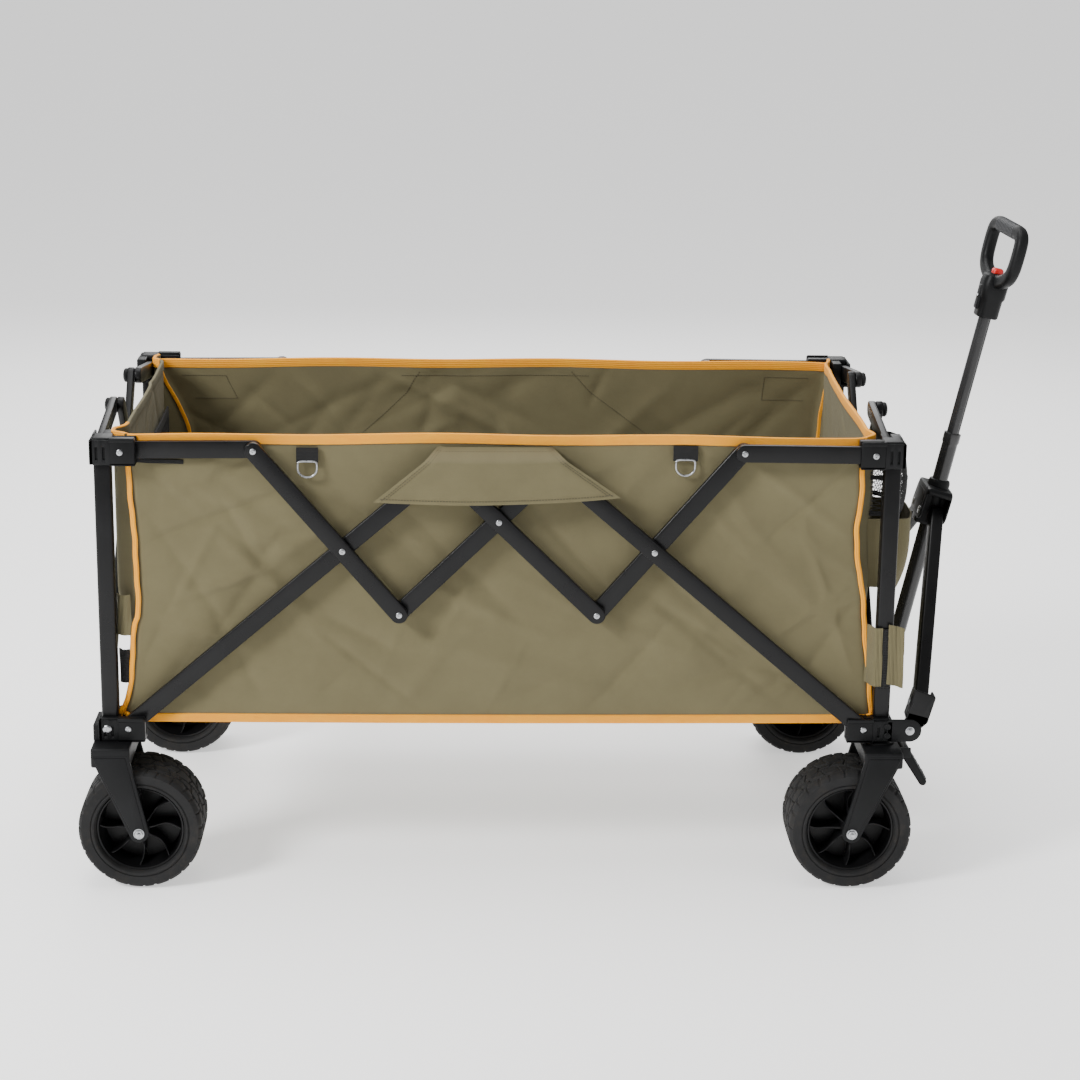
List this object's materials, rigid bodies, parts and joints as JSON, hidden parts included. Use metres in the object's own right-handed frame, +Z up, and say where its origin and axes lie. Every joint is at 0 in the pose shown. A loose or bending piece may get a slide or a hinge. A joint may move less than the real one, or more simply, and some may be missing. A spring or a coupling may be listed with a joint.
{
  "type": "folding pull wagon",
  "caption": "Folding fabric wagon on a scissor-link frame, with fixed rear wheels, braked front casters and a telescopic pull handle.",
  "frame": {"origin": "middle of the bounding box, on the ground under the wheels", "axes": "+X forwards towards the pull handle, +Y to the left of travel, +Z up"},
  "size_m": [1.3874, 0.704, 0.9362],
  "materials": {
    "frame": "satin black powder coat",
    "inner_tube": "satin dark grey",
    "moulding": "fine moulded grain",
    "tyre": "matte",
    "rim": "satin",
    "fabric": "olive woven polyester",
    "binding": "orange woven tape",
    "webbing": "black woven webbing and mesh",
    "steel": "zinc plated",
    "button": "red"
  },
  "bodies": {
    "rear_near": {"rear_near_post": "frame", "rear_near_top_bracket": "moulding", "rear_near_base_fork": "moulding", "near_rear_fabric": "fabric"},
    "rear_far": {"rear_far_post": "frame", "rear_far_top_bracket": "moulding", "rear_far_base_fork": "moulding"},
    "front_near": {"front_near_post": "frame", "front_near_top_bracket": "moulding", "front_near_base_bracket": "moulding"},
    "front_far": {"front_far_post": "frame", "front_far_top_bracket": "moulding", "front_far_base_bracket": "moulding", "far_front_fabric": "fabric"},
    "near_long_arm_rear": {"near_long_arm_rear": "frame"},
    "near_long_arm_front": {"near_long_arm_front": "frame"},
    "near_short_arm_rear": {"near_short_arm_rear": "frame"},
    "near_short_arm_front": {"near_short_arm_front": "frame"},
    "near_cross_arm_inner": {"near_cross_arm_inner": "frame"},
    "near_cross_arm_outer": {"near_cross_arm_outer": "frame"},
    "near_stub_rear": {"near_stub_rear": "frame"},
    "near_stub_front": {"near_stub_front": "frame"},
    "far_long_arm_rear": {"far_long_arm_rear": "frame"},
    "far_long_arm_front": {"far_long_arm_front": "frame"},
    "far_short_arm_rear": {"far_short_arm_rear": "frame"},
    "far_short_arm_front": {"far_short_arm_front": "frame"},
    "far_cross_arm_inner": {"far_cross_arm_inner": "frame"},
    "far_cross_arm_outer": {"far_cross_arm_outer": "frame"},
    "far_stub_rear": {"far_stub_rear": "frame"},
    "far_stub_front": {"far_stub_front": "frame"},
    "rear_end_arm_near": {"rear_end_arm_near": "frame"},
    "rear_end_stub_near": {"rear_end_stub_near": "frame"},
    "rear_end_arm_far": {"rear_end_arm_far": "frame"},
    "rear_end_stub_far": {"rear_end_stub_far": "frame"},
    "front_end_arm_near": {"front_end_arm_near": "frame"},
    "front_end_stub_near": {"front_end_stub_near": "frame"},
    "front_end_arm_far": {"front_end_arm_far": "frame"},
    "front_end_stub_far": {"front_end_stub_far": "frame"},
    "floor_near_half": {"floor_near": "fabric"},
    "floor_far_half": {"floor_far": "fabric"},
    "rear_near_wheel": {"rear_near_tyre": "tyre", "rear_near_rim": "rim"},
    "rear_far_wheel": {"rear_far_tyre": "tyre", "rear_far_rim": "rim"},
    "front_near_caster": {"front_near_caster_fork": "moulding"},
    "front_near_wheel": {"front_near_tyre": "tyre", "front_near_rim": "rim"},
    "near_brake": {"near_brake_pedal": "moulding"},
    "front_far_caster": {"front_far_caster_fork": "moulding"},
    "front_far_wheel": {"front_far_tyre": "tyre", "front_far_rim": "rim"},
    "far_brake": {"far_brake_pedal": "moulding"},
    "handle_near_knuckle": {"handle_knuckle_near": "frame"},
    "handle_far_knuckle": {"handle_knuckle_far": "frame"},
    "handle_near_leg": {"handle_leg_near": "frame"},
    "handle_far_leg": {"handle_leg_far": "frame"},
    "handle_hub": {"handle_hub_tube": "moulding"},
    "handle_button": {"handle_button": "button"},
    "handle_slider": {"handle_inner_tube": "inner_tube", "handle_grip": "moulding"}
  },
  "joints": [
    {"name": "length_fold", "type": "slide", "parent": "rear_near", "child": "front_near", "axis": [-1, 0, 0], "range_m": [0, 0.84], "deforming": ["near_rear_fabric", "far_front_fabric", "floor_near", "floor_far"]},
    {"name": "width_fold", "type": "slide", "parent": "rear_near", "child": "rear_far", "axis": [0, -1, 0], "range_m": [0, 0.43]},
    {"name": "front_width_fold", "type": "slide", "parent": "front_near", "child": "front_far", "axis": [0, -1, 0], "range_m": [0, 0.43]},
    {"name": "near_long_arm_rear_turn", "type": "hinge", "parent": "rear_near", "child": "near_long_arm_rear", "pos_m": [-0.6187, -0.2935, 0.238], "axis": [0, -1, 0], "range_deg": [0, 39.91]},
    {"name": "near_short_arm_rear_turn", "type": "hinge", "parent": "near_long_arm_rear", "child": "near_short_arm_rear", "pos_m": [-0.30885, -0.3045, 0.50405], "axis": [0, 1, 0], "range_deg": [0, 71.24]},
    {"name": "near_cross_arm_outer_turn", "type": "hinge", "parent": "near_long_arm_rear", "child": "near_cross_arm_outer", "pos_m": [-0.16674, -0.3045, 0.62606], "axis": [0, 1, 0], "range_deg": [0, 78.28]},
    {"name": "near_stub_rear_turn", "type": "hinge", "parent": "rear_near", "child": "near_stub_rear", "pos_m": [-0.6187, -0.2935, 0.648], "axis": [0, -1, 0], "range_deg": [0, 78.15]},
    {"name": "near_long_arm_front_turn", "type": "hinge", "parent": "front_near", "child": "near_long_arm_front", "pos_m": [0.4453, -0.3045, 0.238], "axis": [0, 1, 0], "range_deg": [0, 39.91]},
    {"name": "near_short_arm_front_turn", "type": "hinge", "parent": "near_long_arm_front", "child": "near_short_arm_front", "pos_m": [0.13545, -0.2935, 0.50405], "axis": [0, -1, 0], "range_deg": [0, 71.24]},
    {"name": "near_cross_arm_inner_turn", "type": "hinge", "parent": "near_long_arm_front", "child": "near_cross_arm_inner", "pos_m": [-0.00666, -0.2935, 0.62606], "axis": [0, -1, 0], "range_deg": [0, 78.28]},
    {"name": "near_stub_front_turn", "type": "hinge", "parent": "front_near", "child": "near_stub_front", "pos_m": [0.4453, -0.3045, 0.648], "axis": [0, 1, 0], "range_deg": [0, 78.15]},
    {"name": "far_long_arm_rear_turn", "type": "hinge", "parent": "rear_far", "child": "far_long_arm_rear", "pos_m": [-0.6187, 0.2935, 0.238], "axis": [0, -1, 0], "range_deg": [0, 39.91]},
    {"name": "far_short_arm_rear_turn", "type": "hinge", "parent": "far_long_arm_rear", "child": "far_short_arm_rear", "pos_m": [-0.30885, 0.3045, 0.50405], "axis": [0, 1, 0], "range_deg": [0, 71.24]},
    {"name": "far_cross_arm_outer_turn", "type": "hinge", "parent": "far_long_arm_rear", "child": "far_cross_arm_outer", "pos_m": [-0.16674, 0.3045, 0.62606], "axis": [0, 1, 0], "range_deg": [0, 78.28]},
    {"name": "far_stub_rear_turn", "type": "hinge", "parent": "rear_far", "child": "far_stub_rear", "pos_m": [-0.6187, 0.2935, 0.648], "axis": [0, -1, 0], "range_deg": [0, 78.15]},
    {"name": "far_long_arm_front_turn", "type": "hinge", "parent": "front_far", "child": "far_long_arm_front", "pos_m": [0.4453, 0.3045, 0.238], "axis": [0, 1, 0], "range_deg": [0, 39.91]},
    {"name": "far_short_arm_front_turn", "type": "hinge", "parent": "far_long_arm_front", "child": "far_short_arm_front", "pos_m": [0.13545, 0.2935, 0.50405], "axis": [0, -1, 0], "range_deg": [0, 71.24]},
    {"name": "far_cross_arm_inner_turn", "type": "hinge", "parent": "far_long_arm_front", "child": "far_cross_arm_inner", "pos_m": [-0.00666, 0.2935, 0.62606], "axis": [0, -1, 0], "range_deg": [0, 78.28]},
    {"name": "far_stub_front_turn", "type": "hinge", "parent": "front_far", "child": "far_stub_front", "pos_m": [0.4453, 0.3045, 0.648], "axis": [0, 1, 0], "range_deg": [0, 78.15]},
    {"name": "rear_end_arm_near_turn", "type": "hinge", "parent": "rear_near", "child": "rear_end_arm_near", "pos_m": [-0.6527, -0.264, 0.238], "axis": [1, 0, 0], "range_deg": [0, 33.66]},
    {"name": "rear_end_stub_near_turn", "type": "hinge", "parent": "rear_near", "child": "rear_end_stub_near", "pos_m": [-0.6527, -0.264, 0.648], "axis": [1, 0, 0], "range_deg": [0, 71.13]},
    {"name": "rear_end_arm_far_turn", "type": "hinge", "parent": "rear_far", "child": "rear_end_arm_far", "pos_m": [-0.6417, 0.264, 0.238], "axis": [-1, 0, 0], "range_deg": [0, 33.66]},
    {"name": "rear_end_stub_far_turn", "type": "hinge", "parent": "rear_far", "child": "rear_end_stub_far", "pos_m": [-0.6417, 0.264, 0.648], "axis": [-1, 0, 0], "range_deg": [0, 71.13]},
    {"name": "front_end_arm_near_turn", "type": "hinge", "parent": "front_near", "child": "front_end_arm_near", "pos_m": [0.4683, -0.264, 0.238], "axis": [1, 0, 0], "range_deg": [0, 33.66]},
    {"name": "front_end_stub_near_turn", "type": "hinge", "parent": "front_near", "child": "front_end_stub_near", "pos_m": [0.4683, -0.264, 0.648], "axis": [1, 0, 0], "range_deg": [0, 71.13]},
    {"name": "front_end_arm_far_turn", "type": "hinge", "parent": "front_far", "child": "front_end_arm_far", "pos_m": [0.4793, 0.264, 0.238], "axis": [-1, 0, 0], "range_deg": [0, 33.66]},
    {"name": "front_end_stub_far_turn", "type": "hinge", "parent": "front_far", "child": "front_end_stub_far", "pos_m": [0.4793, 0.264, 0.648], "axis": [-1, 0, 0], "range_deg": [0, 71.13]},
    {"name": "floor_near_fold", "type": "hinge", "parent": "rear_near", "child": "floor_near_half", "pos_m": [-0.0867, -0.2793, 0.25], "axis": [1, 0, 0], "range_deg": [0, 76.6]},
    {"name": "floor_far_fold", "type": "hinge", "parent": "rear_far", "child": "floor_far_half", "pos_m": [-0.0867, 0.2793, 0.25], "axis": [-1, 0, 0], "range_deg": [0, 76.6]},
    {"name": "rear_near_roll", "type": "hinge", "parent": "rear_near", "child": "rear_near_wheel", "pos_m": [-0.6037, -0.285, 0.09], "axis": [0, 1, 0], "continuous": true},
    {"name": "rear_far_roll", "type": "hinge", "parent": "rear_far", "child": "rear_far_wheel", "pos_m": [-0.6037, 0.285, 0.09], "axis": [0, 1, 0], "continuous": true},
    {"name": "front_near_swivel", "type": "hinge", "parent": "front_near", "child": "front_near_caster", "pos_m": [0.4723, -0.29, 0.216], "axis": [0, 0, 1], "continuous": true},
    {"name": "front_near_roll", "type": "hinge", "parent": "front_near_caster", "child": "front_near_wheel", "pos_m": [0.4303, -0.285, 0.09], "axis": [0, 1, 0], "continuous": true},
    {"name": "near_brake_press", "type": "hinge", "parent": "front_near_caster", "child": "near_brake", "pos_m": [0.5083, -0.285, 0.204], "axis": [0, 1, 0], "range_deg": [0, 20]},
    {"name": "front_far_swivel", "type": "hinge", "parent": "front_far", "child": "front_far_caster", "pos_m": [0.4723, 0.29, 0.216], "axis": [0, 0, 1], "continuous": true},
    {"name": "front_far_roll", "type": "hinge", "parent": "front_far_caster", "child": "front_far_wheel", "pos_m": [0.4303, 0.285, 0.09], "axis": [0, 1, 0], "continuous": true},
    {"name": "far_brake_press", "type": "hinge", "parent": "front_far_caster", "child": "far_brake", "pos_m": [0.5083, 0.285, 0.204], "axis": [0, 1, 0], "range_deg": [0, 20]},
    {"name": "handle_swing", "type": "hinge", "parent": "front_near", "child": "handle_near_knuckle", "pos_m": [0.5133, -0.307, 0.238], "axis": [0, 1, 0], "range_deg": [-13, 74]},
    {"name": "handle_far_knuckle_swing", "type": "hinge", "parent": "front_far", "child": "handle_far_knuckle", "pos_m": [0.5133, 0.307, 0.238], "axis": [0, 1, 0], "range_deg": [-13, 74]},
    {"name": "handle_near_leg_fold", "type": "hinge", "parent": "handle_near_knuckle", "child": "handle_near_leg", "pos_m": [0.52912, -0.292, 0.27307], "axis": [0.9646, 0, -0.2639], "range_deg": [0, 41.47]},
    {"name": "handle_hub_level", "type": "hinge", "parent": "handle_near_leg", "child": "handle_hub", "pos_m": [0.58822, -0.026, 0.48913], "axis": [-0.9646, 0, 0.2639], "range_deg": [0, 41.47]},
    {"name": "handle_far_leg_fold", "type": "hinge", "parent": "handle_hub", "child": "handle_far_leg", "pos_m": [0.57665, 0.026, 0.4923], "axis": [-0.9646, 0, 0.2639], "range_deg": [0, 41.47]},
    {"name": "handle_extend", "type": "slide", "parent": "handle_hub", "child": "handle_slider", "axis": [0.213, 0, 0.977], "range_m": [-0.18, 0.06]},
    {"name": "handle_button_press", "type": "slide", "parent": "handle_slider", "child": "handle_button", "axis": [-0.213, 0, -0.977], "range_m": [0, 0.005], "stiffness_N_per_m": 400}
  ],
  "couplings": [
    {"joint": "front_width_fold", "follows": "width_fold", "ratio": 1},
    {"joint": "near_long_arm_rear_turn", "follows": "length_fold", "rad_per_m": 0.82917},
    {"joint": "near_short_arm_rear_turn", "follows": "length_fold", "rad_per_m": 1.4802},
    {"joint": "near_cross_arm_outer_turn", "follows": "length_fold", "rad_per_m": 1.6265},
    {"joint": "near_stub_rear_turn", "follows": "length_fold", "rad_per_m": 1.6237},
    {"joint": "near_long_arm_front_turn", "follows": "length_fold", "rad_per_m": 0.82917},
    {"joint": "near_short_arm_front_turn", "follows": "length_fold", "rad_per_m": 1.4802},
    {"joint": "near_cross_arm_inner_turn", "follows": "length_fold", "rad_per_m": 1.6265},
    {"joint": "near_stub_front_turn", "follows": "length_fold", "rad_per_m": 1.6237},
    {"joint": "far_long_arm_rear_turn", "follows": "length_fold", "rad_per_m": 0.82917},
    {"joint": "far_short_arm_rear_turn", "follows": "length_fold", "rad_per_m": 1.4802},
    {"joint": "far_cross_arm_outer_turn", "follows": "length_fold", "rad_per_m": 1.6265},
    {"joint": "far_stub_rear_turn", "follows": "length_fold", "rad_per_m": 1.6237},
    {"joint": "far_long_arm_front_turn", "follows": "length_fold", "rad_per_m": 0.82917},
    {"joint": "far_short_arm_front_turn", "follows": "length_fold", "rad_per_m": 1.4802},
    {"joint": "far_cross_arm_inner_turn", "follows": "length_fold", "rad_per_m": 1.6265},
    {"joint": "far_stub_front_turn", "follows": "length_fold", "rad_per_m": 1.6237},
    {"joint": "rear_end_arm_near_turn", "follows": "width_fold", "rad_per_m": 1.3664},
    {"joint": "rear_end_stub_near_turn", "follows": "width_fold", "rad_per_m": 2.8872},
    {"joint": "rear_end_arm_far_turn", "follows": "width_fold", "rad_per_m": 1.3664},
    {"joint": "rear_end_stub_far_turn", "follows": "width_fold", "rad_per_m": 2.8872},
    {"joint": "front_end_arm_near_turn", "follows": "width_fold", "rad_per_m": 1.3664},
    {"joint": "front_end_stub_near_turn", "follows": "width_fold", "rad_per_m": 2.8872},
    {"joint": "front_end_arm_far_turn", "follows": "width_fold", "rad_per_m": 1.3664},
    {"joint": "front_end_stub_far_turn", "follows": "width_fold", "rad_per_m": 2.8872},
    {"joint": "floor_near_fold", "follows": "width_fold", "rad_per_m": 3.1091},
    {"joint": "floor_far_fold", "follows": "width_fold", "rad_per_m": 3.1091},
    {"joint": "handle_far_knuckle_swing", "follows": "handle_swing", "ratio": 1},
    {"joint": "handle_near_leg_fold", "follows": "width_fold", "rad_per_m": 1.6831},
    {"joint": "handle_hub_level", "follows": "width_fold", "rad_per_m": 1.6831},
    {"joint": "handle_far_leg_fold", "follows": "width_fold", "rad_per_m": 1.6831}
  ]
}
